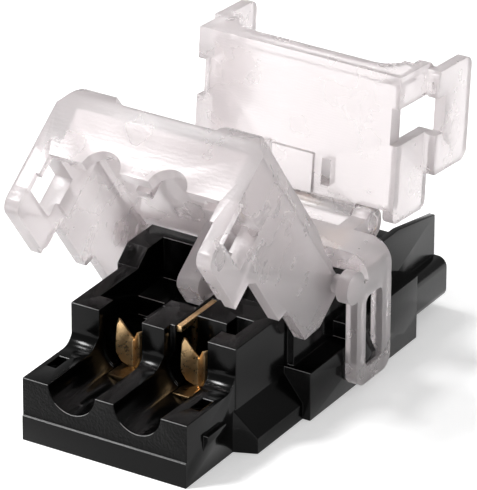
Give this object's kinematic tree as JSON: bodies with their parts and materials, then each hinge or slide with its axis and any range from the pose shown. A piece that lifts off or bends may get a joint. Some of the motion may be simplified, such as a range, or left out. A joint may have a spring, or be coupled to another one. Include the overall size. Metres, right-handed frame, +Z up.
{
  "type": "led strip connector",
  "caption": "Solderless connector for a flat light strip: black base with brass contacts, and two hinged clear covers over the wires and the strip.",
  "frame": {"origin": "centre of the flat underside that the base rests on", "axes": "+Z up, +Y from the wire end towards the strip end, +X to the right seen from the wire end"},
  "size_m": [0.0148, 0.0256, 0.0174],
  "materials": {
    "base": "glossy black moulding",
    "contact": "stamped sheet brass",
    "clear": "clear moulding, slightly pinkish"
  },
  "bodies": {
    "base": {"base_housing": "base", "contact_left": "contact", "contact_right": "contact", "hinge_saddle": "clear"},
    "wire_cover": {"wire_cover": "clear"},
    "strip_cover": {"strip_cover": "clear"}
  },
  "joints": [
    {"name": "wire_cover_hinge", "type": "hinge", "parent": "base", "child": "wire_cover", "pos_m": [0, 0.00245, 0.0066], "axis": [1, 0, 0], "range_deg": [-26, 54]},
    {"name": "strip_cover_hinge", "type": "hinge", "parent": "base", "child": "strip_cover", "pos_m": [0, 0.00845, 0.0071], "axis": [1, 0, 0], "range_deg": [-85, 5]}
  ]
}
